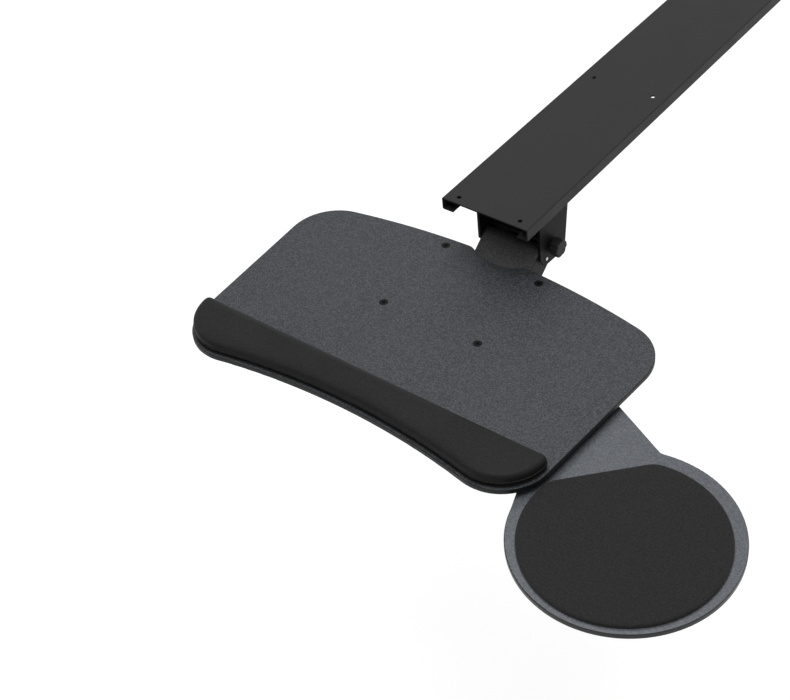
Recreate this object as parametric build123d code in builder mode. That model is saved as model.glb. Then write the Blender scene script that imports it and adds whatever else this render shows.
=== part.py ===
"""Adjustable tray that hangs from a slide track under a mounting surface.

The origin is the middle of the track's mounting face, which meets the surface's underside.
+X is the user's right, +Y points away from the user and +Z is up. Lengths are millimetres.
"""
from build123d import *
import math
import os

os.makedirs("parts", exist_ok=True)

# Shared values
overrun = 1.0               # how far a cut runs past the face that it opens
shaft_gap = 0.05            # radial clearance of a shaft in its hole
face_gap = 0.1              # clearance between flat faces that slide on each other
seat_gap = 0.3              # clearance beside a soft or loosely guided piece

# Track
track_length = 560.0
track_width = 112.0
track_height = 15.0
track_wall = 1.8
track_lip = 14.0            # width of each inturned rail
track_bend = 1.2
mount_hole_radius = 2.6
mount_hole_spacing = 80.0   # across the track
mount_row_inset = 10.0      # first and last rows of holes, from the track's ends

# Stops at the ends of the track
stop_width = 40.0
stop_sheet = 2.0
stop_foot = 9.0
stop_height = 9.0
stop_inset = 1.7            # from the rear stop's foot to the track's end
bumper_width = 30.0
bumper_height = 6.0
bumper_depth = 3.0

# Carriage that runs in the track
carriage_length = 120.0
carriage_width = 98.0
carriage_sheet = 3.0
carriage_headroom = 3.4     # from the track's inner top face to the plate
carriage_corner = 6.0
carriage_slot_length = 30.0
carriage_slot_width = 9.0
glide_length = 26.0
glide_grip = 5.0            # how far a glide reaches in over the plate
glide_edge = 1.2
hub_radius = 24.0
hub_height = 8.8
swivel_setback = 84.0       # swivel axis behind the track's front end at rest

# Swivel bolt and its washers
swivel_bolt_radius = 5.0
swivel_head_radius = 9.5
swivel_head_height = 3.0
thrust_washer = 1.9
steel_washer = 1.6
steel_washer_radius = 11.0
swivel_nut_height = 8.0
swivel_nut_radius = 9.2
bolt_tail = 1.5             # thread that shows below a nut

# Pivots of the lift arm, seen from the side
rear_pivot_reach = 31.0     # upper rear pivot in front of the swivel axis
rear_pivot_drop = 81.0      # upper rear pivot below the mounting surface
link_run = 119.0            # upper rear pivot to upper front pivot, level
link_fall = 32.0            # upper rear pivot to upper front pivot, down
lower_pivot_back = 8.0      # lower pivots behind the upper ones
lower_pivot_drop = 19.0     # lower pivots below the upper ones
tilt_pin_reach = 18.0       # tilt pin in front of the upper front pivot
tilt_pin_drop = 12.1        # tilt pin below the mounting plate
pin_radius = 4.0
pin_head_radius = 6.2
pin_head_height = 1.4
pin_tip_radius = 2.0        # the rear upper pin's thin ends, which the ears hold
pin_tip_show = 0.8

# Swivel bracket
bracket_sheet = 3.2
bracket_width = 84.8
ear_nose = 11.0             # front edge of the ears in front of the rear pivot
ear_nose_rise = 3.0
ear_chin_reach = 3.0
ear_chin_drop = 8.5
ear_belly_back = 17.0
ear_belly_drop = 9.5
ear_lobe_back = 28.0
ear_lobe_drop = 8.0
ear_lobe_radius = 8.5
ear_root_back = 46.0
ear_corner = 3.0
web_sheet = 2.5
web_back = 15.0             # front face of the cross web behind the rear pivot
web_drop = 4.0              # full width of the web ends this far below the rear pivot
barrel_wall = 3.2
barrel_length = 47.6

# Upper link, a pressed cover with two side flanges
link_width = 75.4
link_sheet = 2.0
link_radius = 12.0          # cover round the pivots
link_slope = 37.0           # degrees, the stretch that shows behind the board
link_skirt = 18.0           # depth of the flanges below the rear pivot
link_bend = 42.0
link_skirt_corner = 5.0
link_edge_round = 0.6       # outer edges of the pressing
cover_stop = 14.0           # the cover ends this far behind the front pivot
leg_slot_width = 6.4        # slot behind the cover for the spring's rear leg
leg_slot_reach = 5.0
leg_slot_rise = 10.0

# Lower link, a channel
lower_width = 54.0
lower_sheet = 3.0
lower_radius = 6.5
lower_web_inset = 17.0

# Lift spring round the rear pivot pin
spring_wire = 3.4
spring_mean_radius = 7.9
spring_turns = 6
spring_pitch = 4.3
spring_front_leg = 30.0
spring_rear_leg = 11.0
spring_rear_angle = 45.0    # where the wire leaves the coil for the web

# Clamp bolt through the ears, with the height knob on its right end
clamp_back = 11.5
clamp_rise = 12.0
clamp_radius = 3.0
clamp_head_radius = 5.8
clamp_head_height = 3.6
height_knob_radius = 10.5
height_knob_length = 13.0
height_knob_collar = 2.0
height_knob_collar_radius = 6.5

# Head bracket between the arm and the tray
head_width = 65.0
head_sheet = 2.5
head_radius = 10.5

# Tilt knob
tilt_knob_radius = 11.0
tilt_knob_length = 14.0
tilt_knob_collar = 3.0
tilt_knob_collar_radius = 8.0

# Mounting plate under the board
plate_sheet = 2.5
plate_half_width = 72.0
plate_margin = 9.0          # from the screw rows to the plate's ends
plate_corner = 7.0
plate_gap_half_width = 41.5
plate_gap_front = 62.0      # front end of the rear cut-out, behind the tilt pin
plate_gap_corner = 8.0
lug_gap = 1.5               # washer space between the head bracket and a lug
lug_radius = 9.5
lug_root_half = 15.0

# Board
board_drop = 75.0           # top face below the mounting surface
board_thickness = 6.4
board_rear_reach = 106.7    # rear edge behind the tilt pin, on the centre line
board_depth = 276.5         # on the centre line
board_rear_half_width = 237.3
board_front_half_width = 222.8
board_rear_bow = 31.3       # corners in front of the middle of the rear edge
board_front_bow = 31.0      # corners in front of the middle of the front edge
board_rear_corner = 56.0
board_front_corner = 55.0
board_edge_round = 1.0
notch_radius = 58.0
notch_depth = 12.9
notch_corner = 14.0

# Screws that hold the board
screw_spacing = 125.2
screw_row_inset = 15.0      # rear row in front of the board's rear edge
screw_row_spacing = 114.0
screw_radius = 2.5
screw_head_radius = 5.0
screw_reach = 16.0
recess_length = 5.6
recess_width = 1.1
recess_depth = 1.6
nut_radius = 4.7
nut_height = 4.0

# Palm rest
rest_depth = 40.6           # from the front edge of the cushion to its straight rear edge, centre
rest_inset = 2.6            # inside the board's edge
rest_corner = 6.5
rest_base_thickness = 2.0
rest_base_inset = 0.8
rest_thickness = 15.0
rest_top_round = 6.0
rest_low_round = 1.5

# Side platform
mouse_pivot_inset = 56.3    # pivot inside the board's rear half width
mouse_pivot_reach = 14.8    # pivot in front of the tilt pin
mouse_reach = 198.0
mouse_direction = -44.2     # degrees from +X
mouse_radius = 112.2
mouse_drop = 7.1            # top face below the board's underside
mouse_thickness = 6.4
neck_radius = 25.0
neck_right_normal = 62.4    # degrees, where the right edge leaves the pivot's round
neck_left_normal = 199.3
neck_right_joint = 103.8    # degrees on the disc, where the right edge meets it
neck_left_joint = 194.5
neck_fillet = 9.0

# Pad on the side platform
pad_radius = 100.5
pad_shift_x = 2.0
pad_shift_y = -5.6
pad_chord = 80.6
pad_corner = 26.0
pad_thickness = 4.5
pad_round = 1.5

# Side platform's pivot
stud_plate_radius = 27.0
stud_plate_sheet = 2.5
stud_radius = 5.0
spacer_radius = 13.0
stud_screw_circle = 20.5
stud_screw_radius = 1.6
stud_screw_depth = 4.4
stud_screw_head_radius = 3.0
stud_screw_head_height = 1.6
stud_screw_count = 3
mouse_washer = 1.5
mouse_washer_radius = 12.0
mouse_knob_radius = 21.0
mouse_knob_height = 15.0
mouse_knob_collar = 3.0
mouse_knob_collar_radius = 10.0
knob_flutes = 6
knob_flute_share = 0.26     # flute radius as a share of the knob's radius
knob_edge_share = 0.09      # rounded rim as a share of the knob's radius
knob_bore_share = 0.6       # depth of the threaded bore as a share of the knob's length

# Places worked out from the sizes
track_inner_half = track_width / 2 - track_wall
swivel_y = swivel_setback - track_length / 2
carriage_top = -track_wall - carriage_headroom
hub_bottom = carriage_top - carriage_sheet - hub_height
bracket_top = hub_bottom - thrust_washer - face_gap
bracket_half = bracket_width / 2
ear_inner = bracket_half - bracket_sheet
rear_y = swivel_y - rear_pivot_reach
rear_z = -rear_pivot_drop
front_y = rear_y - link_run
front_z = rear_z - link_fall
rear_low_y = rear_y + lower_pivot_back
rear_low_z = rear_z - lower_pivot_drop
front_low_y = front_y + lower_pivot_back
front_low_z = front_z - lower_pivot_drop
board_under = -board_drop - board_thickness
plate_under = board_under - plate_sheet
tilt_y = front_y - tilt_pin_reach
tilt_z = plate_under - tilt_pin_drop
board_rear_y = tilt_y + board_rear_reach
board_front_y = board_rear_y - board_depth
screw_rear_y = board_rear_y - screw_row_inset
screw_mid_y = screw_rear_y - screw_row_spacing / 2
barrel_radius = pin_radius + shaft_gap + barrel_wall
clamp_y = rear_y + clamp_back
clamp_z = rear_z + clamp_rise
head_half = head_width / 2
link_half = link_width / 2
lower_half = lower_width / 2
lug_inner = head_half + lug_gap
lug_outer = lug_inner + plate_sheet
mouse_pivot_x = board_rear_half_width - mouse_pivot_inset
mouse_pivot_y = tilt_y - mouse_pivot_reach
mouse_top = board_under - mouse_drop
mouse_under = mouse_top - mouse_thickness
mouse_angle = math.radians(mouse_direction)
mouse_x = mouse_pivot_x + mouse_reach * math.cos(mouse_angle)
mouse_y = mouse_pivot_y + mouse_reach * math.sin(mouse_angle)


def polar(centre_x, centre_y, radius, degrees):
    """The point at an angle on a circle."""
    angle = math.radians(degrees)
    return (centre_x + radius * math.cos(angle), centre_y + radius * math.sin(angle))


# Track: a folded steel channel, open below, with screw holes in its top
with BuildPart() as track:
    with BuildSketch(Plane.XZ):
        Rectangle(track_width, track_height, align=(Align.CENTER, Align.MAX))
        with Locations((0, -track_wall)):
            Rectangle(
                track_width - 2 * track_wall,
                track_height - 2 * track_wall,
                align=(Align.CENTER, Align.MAX),
                mode=Mode.SUBTRACT,
            )
        with Locations((0, -track_height)):
            Rectangle(track_width - 2 * track_lip, track_height, mode=Mode.SUBTRACT)
    extrude(amount=track_length / 2, both=True)
    top_bends = track.edges().filter_by(Axis.Y).group_by(Axis.Z)[-1]
    low_bends = track.edges().filter_by(Axis.Y).group_by(Axis.Z)[0].group_by(Axis.X)
    fillet([*top_bends, *low_bends[0], *low_bends[-1]], track_bend)
    with BuildSketch():
        with GridLocations(mount_hole_spacing, track_length / 2 - mount_row_inset, 2, 3):
            Circle(mount_hole_radius)
    extrude(amount=-track_wall - overrun, mode=Mode.SUBTRACT)
track.part.label = "track"
export_step(track.part, "parts/track.step")

# Stops: a bent tab under each end of the track, each with a rubber bumper
front_bumper_face = swivel_y - carriage_length / 2 - seat_gap
rear_bumper_face = track_length / 2 - stop_inset - stop_foot - stop_sheet - bumper_depth
carriage_travel = rear_bumper_face - seat_gap - swivel_y - carriage_length / 2
for stop_name, face_y, outward in (
    ("front_stop", front_bumper_face, -1),
    ("rear_stop", rear_bumper_face, 1),
):
    tab_y = face_y + outward * bumper_depth
    heel_y = tab_y + outward * stop_sheet
    toe_y = heel_y + outward * stop_foot
    with BuildPart() as stop:
        with BuildSketch(Plane.YZ):
            with BuildLine():
                Polyline(
                    (tab_y, -track_wall),
                    (tab_y, -track_wall - stop_height),
                    (heel_y, -track_wall - stop_height),
                    (heel_y, -track_wall - stop_sheet),
                    (toe_y, -track_wall - stop_sheet),
                    (toe_y, -track_wall),
                    close=True,
                )
            make_face()
        extrude(amount=stop_width / 2, both=True)
    stop.part.label = stop_name
    export_step(stop.part, f"parts/{stop_name}.step")

with BuildPart() as stop_bumpers:
    for face_y, outward in ((front_bumper_face, -1), (rear_bumper_face, 1)):
        with BuildSketch(Plane.XZ.offset(-face_y)):
            with Locations((0, -track_wall - stop_height / 2)):
                RectangleRounded(bumper_width, bumper_height, bumper_height / 4)
        extrude(amount=-outward * bumper_depth)
stop_bumpers.part.label = "stop_bumpers"
export_step(stop_bumpers.part, "parts/stop_bumpers.step")

# Carriage: a steel plate with a round hub below it
with BuildPart() as carriage_plate:
    with BuildSketch(Plane.XY.offset(carriage_top)):
        with Locations((0, swivel_y)):
            RectangleRounded(carriage_width, carriage_length, carriage_corner)
            with GridLocations(0, carriage_length - 2 * glide_length, 1, 2):
                SlotOverall(carriage_slot_length, carriage_slot_width, mode=Mode.SUBTRACT)
    extrude(amount=-carriage_sheet)
    with BuildSketch(Plane.XY.offset(carriage_top - carriage_sheet)):
        with Locations((0, swivel_y)):
            Circle(hub_radius)
    extrude(amount=-hub_height)
    with Locations((0, swivel_y, carriage_top)):
        Hole(swivel_bolt_radius + shaft_gap)
carriage_plate.part.label = "carriage_plate"
export_step(carriage_plate.part, "parts/carriage_plate.step")

# Glides: four nylon blocks that grip the plate's corners and run in the rails
glide_inner = carriage_width / 2 - glide_grip
glide_outer = track_inner_half - seat_gap
glide_top = -track_wall - seat_gap
glide_bottom = -track_height + track_wall + seat_gap
for side_name, side in (("left", -1), ("right", 1)):
    for end_name, end in (("front", -1), ("rear", 1)):
        glide_y = swivel_y + end * (carriage_length - glide_length) / 2
        with BuildPart() as glide:
            with BuildSketch(Plane.XY.offset(glide_bottom)):
                with Locations((side * (glide_inner + glide_outer) / 2, glide_y)):
                    Rectangle(glide_outer - glide_inner, glide_length)
            extrude(amount=glide_top - glide_bottom)
            chamfer(glide.edges().filter_by(Axis.Z), glide_edge)
            with BuildSketch(Plane.XY.offset(carriage_top)):
                with Locations((0, swivel_y)):
                    Rectangle(carriage_width, carriage_length)
            extrude(amount=-carriage_sheet, mode=Mode.SUBTRACT)
        glide_name = f"glide_{end_name}_{side_name}"
        glide.part.label = glide_name
        export_step(glide.part, f"parts/{glide_name}.step")

# Swivel bolt, with its round head above the carriage plate
swivel_nut_top = bracket_top - bracket_sheet - face_gap - steel_washer
with BuildPart() as swivel_bolt:
    with BuildSketch(Plane.XY.offset(carriage_top)):
        with Locations((0, swivel_y)):
            Circle(swivel_head_radius)
    extrude(amount=swivel_head_height)
    chamfer(swivel_bolt.faces().sort_by(Axis.Z)[-1].edges(), swivel_head_height / 3)
    with BuildSketch(Plane.XY.offset(carriage_top)):
        with Locations((0, swivel_y)):
            Circle(swivel_bolt_radius)
    extrude(amount=swivel_nut_top - swivel_nut_height - bolt_tail - carriage_top)
swivel_bolt.part.label = "swivel_bolt"
export_step(swivel_bolt.part, "parts/swivel_bolt.step")

# Nylon thrust washer between the hub and the bracket
with BuildPart() as swivel_thrust_washer:
    with BuildSketch(Plane.XY.offset(hub_bottom)):
        with Locations((0, swivel_y)):
            Circle(hub_radius)
            Circle(swivel_bolt_radius + shaft_gap, mode=Mode.SUBTRACT)
    extrude(amount=-thrust_washer)
swivel_thrust_washer.part.label = "swivel_thrust_washer"
export_step(swivel_thrust_washer.part, "parts/swivel_thrust_washer.step")

# Steel washer and hexagon nut under the bracket
with BuildPart() as swivel_washer:
    with BuildSketch(Plane.XY.offset(swivel_nut_top + steel_washer)):
        with Locations((0, swivel_y)):
            Circle(steel_washer_radius)
            Circle(swivel_bolt_radius + shaft_gap, mode=Mode.SUBTRACT)
    extrude(amount=-steel_washer)
swivel_washer.part.label = "swivel_washer"
export_step(swivel_washer.part, "parts/swivel_washer.step")

with BuildPart() as swivel_nut:
    with BuildSketch(Plane.XY.offset(swivel_nut_top)):
        with Locations((0, swivel_y)):
            RegularPolygon(swivel_nut_radius, 6)
            Circle(swivel_bolt_radius + shaft_gap, mode=Mode.SUBTRACT)
    extrude(amount=-swivel_nut_height)
swivel_nut.part.label = "swivel_nut"
export_step(swivel_nut.part, "parts/swivel_nut.step")

# Swivel bracket: top plate, two ears, a cross web and the lower pivot's barrel
with BuildPart() as swivel_bracket:
    with BuildSketch(Plane.XY.offset(bracket_top)):
        with Locations((0, swivel_y)):
            Circle(bracket_half)
        with Locations((0, (swivel_y + rear_y - ear_nose) / 2)):
            Rectangle(bracket_width, swivel_y - rear_y + ear_nose)
    extrude(amount=-bracket_sheet)
    with BuildSketch(Plane.YZ.offset(ear_inner)) as ear:
        with BuildLine():
            Polyline(
                (rear_y - ear_nose, bracket_top),
                (rear_y - ear_nose, rear_z + ear_nose_rise),
                (rear_y - ear_chin_reach, rear_z - ear_chin_drop),
                (rear_y + ear_belly_back, rear_z - ear_belly_drop),
                (rear_y + ear_lobe_back, rear_z - ear_lobe_drop - ear_lobe_radius),
                (rear_y + ear_lobe_back + ear_lobe_radius, rear_z - ear_lobe_drop),
                (rear_y + ear_root_back, bracket_top),
                close=True,
            )
        make_face()
        with Locations((rear_y + ear_lobe_back, rear_z - ear_lobe_drop)):
            Circle(ear_lobe_radius)
        nose_corners = ear.vertices().group_by(Axis.Y)[0]
        fillet(nose_corners.group_by(Axis.Z)[0], ear_corner)
    extrude(amount=bracket_sheet)
    mirror(about=Plane.YZ)
    with BuildSketch(Plane.XZ.offset(-rear_y - web_back)):
        with Locations((0, bracket_top)):
            Rectangle(
                2 * ear_inner + overrun,
                bracket_top - rear_z + web_drop,
                align=(Align.CENTER, Align.MAX),
            )
            Rectangle(
                barrel_length,
                bracket_top - rear_low_z + barrel_radius,
                align=(Align.CENTER, Align.MAX),
            )
    extrude(amount=-web_sheet)
    with BuildSketch(Plane.YZ):
        with Locations((rear_low_y, rear_low_z)):
            Circle(barrel_radius)
        with Locations((rear_low_y, rear_low_z)):
            Rectangle(
                rear_y + web_back - rear_low_y + web_sheet,
                2 * barrel_radius,
                align=(Align.MIN, Align.CENTER),
            )
    extrude(amount=barrel_length / 2, both=True)
    with BuildSketch(Plane.YZ):
        with Locations((rear_low_y, rear_low_z)):
            Circle(pin_radius + shaft_gap)
        with Locations((rear_y, rear_z)):
            Circle(pin_tip_radius + shaft_gap)
        with Locations((clamp_y, clamp_z)):
            Circle(clamp_radius + shaft_gap)
    extrude(amount=bracket_half + overrun, both=True, mode=Mode.SUBTRACT)
    with Locations((0, swivel_y, bracket_top)):
        Hole(swivel_bolt_radius + shaft_gap)
swivel_bracket.part.label = "swivel_bracket"
export_step(swivel_bracket.part, "parts/swivel_bracket.step")


def headed_pin(name, y, z, half_length):
    """A pivot pin along X with a riveted head at each end, written as one part."""
    with BuildPart() as pin:
        with BuildSketch(Plane.YZ):
            with Locations((y, z)):
                Circle(pin_radius)
        extrude(amount=half_length, both=True)
        for outward in (-1, 1):
            with BuildSketch(Plane.YZ.offset(outward * half_length)):
                with Locations((y, z)):
                    Circle(pin_head_radius)
            extrude(amount=outward * pin_head_height)
        rims = pin.faces().filter_by(Axis.X)
        ends = [rims.sort_by(Axis.X)[0], rims.sort_by(Axis.X)[-1]]
        chamfer([edge for end in ends for edge in end.edges()], pin_head_height / 2)
    pin.part.label = name
    export_step(pin.part, f"parts/{name}.step")


# The rear upper pin is stepped: its shoulders stand between the ears
with BuildPart() as rear_upper_pin:
    with BuildSketch(Plane.YZ):
        with Locations((rear_y, rear_z)):
            Circle(pin_radius)
    extrude(amount=ear_inner - face_gap, both=True)
    with BuildSketch(Plane.YZ):
        with Locations((rear_y, rear_z)):
            Circle(pin_tip_radius)
    extrude(amount=bracket_half + pin_tip_show, both=True)
rear_upper_pin.part.label = "rear_upper_pin"
export_step(rear_upper_pin.part, "parts/rear_upper_pin.step")

headed_pin("rear_lower_pin", rear_low_y, rear_low_z, lower_half + face_gap)
headed_pin("front_upper_pin", front_y, front_z, link_half + face_gap)
headed_pin("front_lower_pin", front_low_y, front_low_z, head_half + face_gap)


def ring_pair(name, y, z, inner_x, outer_x, outer_radius, hole_radius):
    """Two rings on one cross shaft, mirrored left and right, written as one part."""
    with BuildPart() as rings:
        with BuildSketch(Plane.YZ.offset(inner_x)):
            with Locations((y, z)):
                Circle(outer_radius)
                Circle(hole_radius + shaft_gap, mode=Mode.SUBTRACT)
        extrude(amount=outer_x - inner_x)
        mirror(about=Plane.YZ)
    rings.part.label = name
    export_step(rings.part, f"parts/{name}.step")


washer_radius = pin_radius + barrel_wall
ring_pair("rear_pivot_washers", rear_y, rear_z, link_half + face_gap,
          ear_inner - face_gap, washer_radius, pin_radius)
ring_pair("front_pivot_spacers", front_y, front_z, head_half + face_gap,
          link_half - link_sheet - face_gap, washer_radius, pin_radius)
ring_pair("lower_pivot_spacers", front_low_y, front_low_z, lower_half + face_gap,
          head_half - head_sheet - face_gap, washer_radius, pin_radius)
ring_pair("tilt_washers", tilt_y, tilt_z, head_half + face_gap,
          lug_inner - face_gap, washer_radius + barrel_wall / 2, pin_radius)

# Lift spring's coil, wanted by the cover's slot
coil_start = 90.0 + link_slope
coil_end = spring_rear_angle - 360.0 * spring_turns
quarter_turns = round((coil_start - coil_end) / 90.0)
coil_half = spring_pitch * (coil_start - coil_end) / 360.0 / 2

# Upper link: a pressed cover that rolls over the rear pivot and dips under the board
slope = math.radians(link_slope)
flat_top = front_z + link_radius
flat_bottom = front_z - link_radius


def on_slope(offset, level):
    """Where the line that far above the rear pivot, along the slope, comes to a level."""
    y = rear_y - offset * math.sin(slope)
    z = rear_z + offset * math.cos(slope)
    return (y - (z - level) / math.tan(slope), level)


def off_pivot(offset):
    """The foot of that line beside the rear pivot."""
    return (rear_y - offset * math.sin(slope), rear_z + offset * math.cos(slope))


inner_radius = link_radius - link_sheet
flange_inner = link_half - link_sheet
skirt_bend = on_slope(-link_skirt, flat_bottom)
with BuildPart() as upper_link:
    with BuildSketch(Plane.YZ) as side:
        with BuildLine():
            Polyline(
                off_pivot(link_radius),
                on_slope(link_radius, flat_top),
                (front_y, flat_top),
                (front_y, flat_bottom),
                skirt_bend,
                off_pivot(-link_skirt),
                close=True,
            )
        make_face()
        with Locations((rear_y, rear_z), (front_y, front_z)):
            Circle(link_radius)
        bends = [
            corner for corner in side.vertices()
            if math.dist((corner.Y, corner.Z), on_slope(link_radius, flat_top)) < shaft_gap
            or math.dist((corner.Y, corner.Z), skirt_bend) < shaft_gap
        ]
        fillet(bends, link_bend)
        heels = [
            corner for corner in side.vertices()
            if math.dist((corner.Y, corner.Z), off_pivot(-link_skirt)) < shaft_gap
        ]
        fillet(heels, link_skirt_corner)
    extrude(amount=link_half, both=True)
    cheeks = upper_link.faces().filter_by(Axis.X)
    fillet([edge for cheek in cheeks for edge in cheek.outer_wire().edges()], link_edge_round)
    with BuildSketch(Plane.YZ) as hollow:
        with BuildLine():
            Polyline(
                off_pivot(inner_radius),
                on_slope(inner_radius, flat_top - link_sheet),
                (front_y - 2 * link_radius, flat_top - link_sheet),
                (front_y - 2 * link_radius, flat_bottom - link_radius),
                (rear_y + 2 * link_radius, flat_bottom - link_radius),
                (rear_y + 2 * link_radius, rear_z),
                (rear_y, rear_z),
                close=True,
            )
        make_face()
        with Locations((rear_y, rear_z)):
            Circle(inner_radius)
        valley = [
            corner for corner in hollow.vertices()
            if math.dist(
                (corner.Y, corner.Z), on_slope(inner_radius, flat_top - link_sheet)
            ) < shaft_gap
        ]
        fillet(valley, link_bend + link_sheet)
        with Locations((front_y + cover_stop, front_z)):
            Rectangle(
                cover_stop + 2 * link_radius,
                4 * link_radius,
                align=(Align.MAX, Align.CENTER),
            )
    extrude(amount=flange_inner, both=True, mode=Mode.SUBTRACT)
    with BuildSketch(Plane.YZ.offset(-coil_half - leg_slot_width / 2 - spring_wire / 4)):
        with Locations((rear_y + leg_slot_reach, rear_z + leg_slot_rise)):
            Rectangle(2 * link_radius, 2 * link_radius, align=(Align.MIN, Align.MAX))
    extrude(amount=leg_slot_width, mode=Mode.SUBTRACT)
    with BuildSketch(Plane.YZ):
        with Locations((rear_y, rear_z), (front_y, front_z)):
            Circle(pin_radius + shaft_gap)
    extrude(amount=link_half + overrun, both=True, mode=Mode.SUBTRACT)
upper_link.part.label = "upper_link"
export_step(upper_link.part, "parts/upper_link.step")

# Lower link: a channel that keeps the head bracket level
lower_length = math.hypot(link_run, link_fall)
lower_tilt = math.degrees(math.atan2(link_fall, link_run))
lower_plane = Plane(
    origin=(0, (rear_low_y + front_low_y) / 2, (rear_low_z + front_low_z) / 2),
    x_dir=(0, link_run, link_fall),
    z_dir=(1, 0, 0),
)
with BuildPart() as lower_link:
    with BuildSketch(lower_plane.offset(-lower_half)):
        SlotCenterToCenter(lower_length, 2 * lower_radius)
    extrude(amount=lower_sheet)
    with BuildSketch(lower_plane.offset(lower_half)):
        SlotCenterToCenter(lower_length, 2 * lower_radius)
    extrude(amount=-lower_sheet)
    with BuildSketch(lower_plane):
        with Locations((0, -lower_radius)):
            Rectangle(
                lower_length - 2 * lower_web_inset,
                lower_sheet,
                align=(Align.CENTER, Align.MIN),
            )
    extrude(amount=lower_half, both=True)
    with BuildSketch(lower_plane):
        with GridLocations(lower_length, 0, 2, 1):
            Circle(pin_radius + shaft_gap)
    extrude(amount=lower_half + overrun, both=True, mode=Mode.SUBTRACT)
lower_link.part.label = "lower_link"
export_step(lower_link.part, "parts/lower_link.step")


# Lift spring: one wire, with a leg under the cover and a leg against the web
def coil_point(degrees):
    """The wire's centre at an angle round the rear pivot."""
    y, z = polar(rear_y, rear_z, spring_mean_radius, degrees)
    return Vector(coil_half - spring_pitch * (coil_start - degrees) / 360.0, y, z)


def coil_tangent(degrees):
    """The wire's direction there."""
    angle = math.radians(degrees)
    rise = -spring_pitch / (2 * math.pi)
    return Vector(
        rise, spring_mean_radius * math.sin(angle), -spring_mean_radius * math.cos(angle)
    ).normalized()


def biarc_joint(start, start_way, end, end_way):
    """The point where two arcs that leave and arrive in the given directions meet."""
    chord = end - start
    ways = start_way + end_way
    square = ways.dot(ways) - 4
    line = -2 * chord.dot(ways)
    root = math.sqrt(line * line - 4 * square * chord.dot(chord))
    reach = (-line - root) / (2 * square)
    return (start + start_way * reach + end - end_way * reach) * 0.5


coil_angles = [
    coil_start + (coil_end - coil_start) * step / quarter_turns for step in range(quarter_turns + 1)
]
with BuildPart() as lift_spring:
    with BuildLine() as wire:
        first = coil_point(coil_angles[0])
        Line(first - coil_tangent(coil_angles[0]) * spring_front_leg, first)
        for here, there in zip(coil_angles[:-1], coil_angles[1:]):
            joint = biarc_joint(
                coil_point(here), coil_tangent(here), coil_point(there), coil_tangent(there)
            )
            first_arc = TangentArc(coil_point(here), joint, tangent=coil_tangent(here))
            TangentArc(joint, coil_point(there), tangent=first_arc % 1)
        last = coil_point(coil_angles[-1])
        Line(last, last + coil_tangent(coil_angles[-1]) * spring_rear_leg)
    with BuildSketch(Plane(origin=wire.line @ 0, z_dir=wire.line % 0)):
        Circle(spring_wire / 2)
    sweep(path=wire.line)
lift_spring.part.label = "lift_spring"
export_step(lift_spring.part, "parts/lift_spring.step")
print("spring: least gap between turns", round(spring_pitch - spring_wire, 2))

# Clamp bolt: it draws the ears together on the link's washers
with BuildPart() as clamp_bolt:
    with BuildSketch(Plane.YZ.offset(-bracket_half - face_gap)):
        with Locations((clamp_y, clamp_z)):
            Circle(clamp_radius)
    extrude(amount=2 * bracket_half + face_gap + height_knob_length * knob_bore_share)
    with BuildSketch(Plane.YZ.offset(-bracket_half - face_gap)):
        with Locations((clamp_y, clamp_z)):
            RegularPolygon(clamp_head_radius, 6)
    extrude(amount=-clamp_head_height)
clamp_bolt.part.label = "clamp_bolt"
export_step(clamp_bolt.part, "parts/clamp_bolt.step")


def fluted_knob(name, plane, radius, length, collar, collar_radius, bore_radius):
    """A moulded knob whose collar starts on the plane, with a blind bore for its bolt."""
    with BuildPart() as knob:
        with BuildSketch(plane):
            Circle(collar_radius)
        extrude(amount=collar)
        with BuildSketch(plane.offset(collar)):
            Circle(radius)
            with PolarLocations(radius * (1 + knob_flute_share / 2), knob_flutes):
                Circle(radius * knob_flute_share, mode=Mode.SUBTRACT)
        extrude(amount=length - collar)
        outer = knob.faces().filter_by(GeomType.PLANE).sort_by(SortBy.AREA)[-2:]
        chamfer([edge for face in outer for edge in face.outer_wire().edges()],
                radius * knob_edge_share)
        with BuildSketch(plane):
            Circle(bore_radius + shaft_gap)
        extrude(amount=length * knob_bore_share + face_gap, mode=Mode.SUBTRACT)
    knob.part.label = name
    export_step(knob.part, f"parts/{name}.step")


fluted_knob(
    "height_knob",
    Plane(origin=(bracket_half + face_gap, clamp_y, clamp_z), z_dir=(1, 0, 0)),
    height_knob_radius,
    height_knob_length,
    height_knob_collar,
    height_knob_collar_radius,
    clamp_radius,
)

# Head bracket: two cheeks and a sloping web between the arm and the tilt pin
pin_run = front_low_y - tilt_y
pin_fall = tilt_z - front_low_z
head_plane = Plane(
    origin=(0, (front_low_y + tilt_y) / 2, (front_low_z + tilt_z) / 2),
    x_dir=(0, pin_run, -pin_fall),
    z_dir=(1, 0, 0),
)
with BuildPart() as head_bracket:
    with BuildSketch(Plane.YZ.offset(head_half)):
        with Locations((front_y, front_z), (front_low_y, front_low_z), (tilt_y, tilt_z)):
            Circle(head_radius)
        make_hull()
    extrude(amount=-head_sheet)
    mirror(about=Plane.YZ)
    with BuildSketch(head_plane):
        with Locations((0, -head_radius)):
            Rectangle(
                math.hypot(pin_run, pin_fall), head_sheet, align=(Align.CENTER, Align.MIN)
            )
    extrude(amount=head_half, both=True)
    with BuildSketch(Plane.YZ):
        with Locations((front_y, front_z), (front_low_y, front_low_z), (tilt_y, tilt_z)):
            Circle(pin_radius + shaft_gap)
    extrude(amount=head_half + overrun, both=True, mode=Mode.SUBTRACT)
head_bracket.part.label = "head_bracket"
export_step(head_bracket.part, "parts/head_bracket.step")

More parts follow.
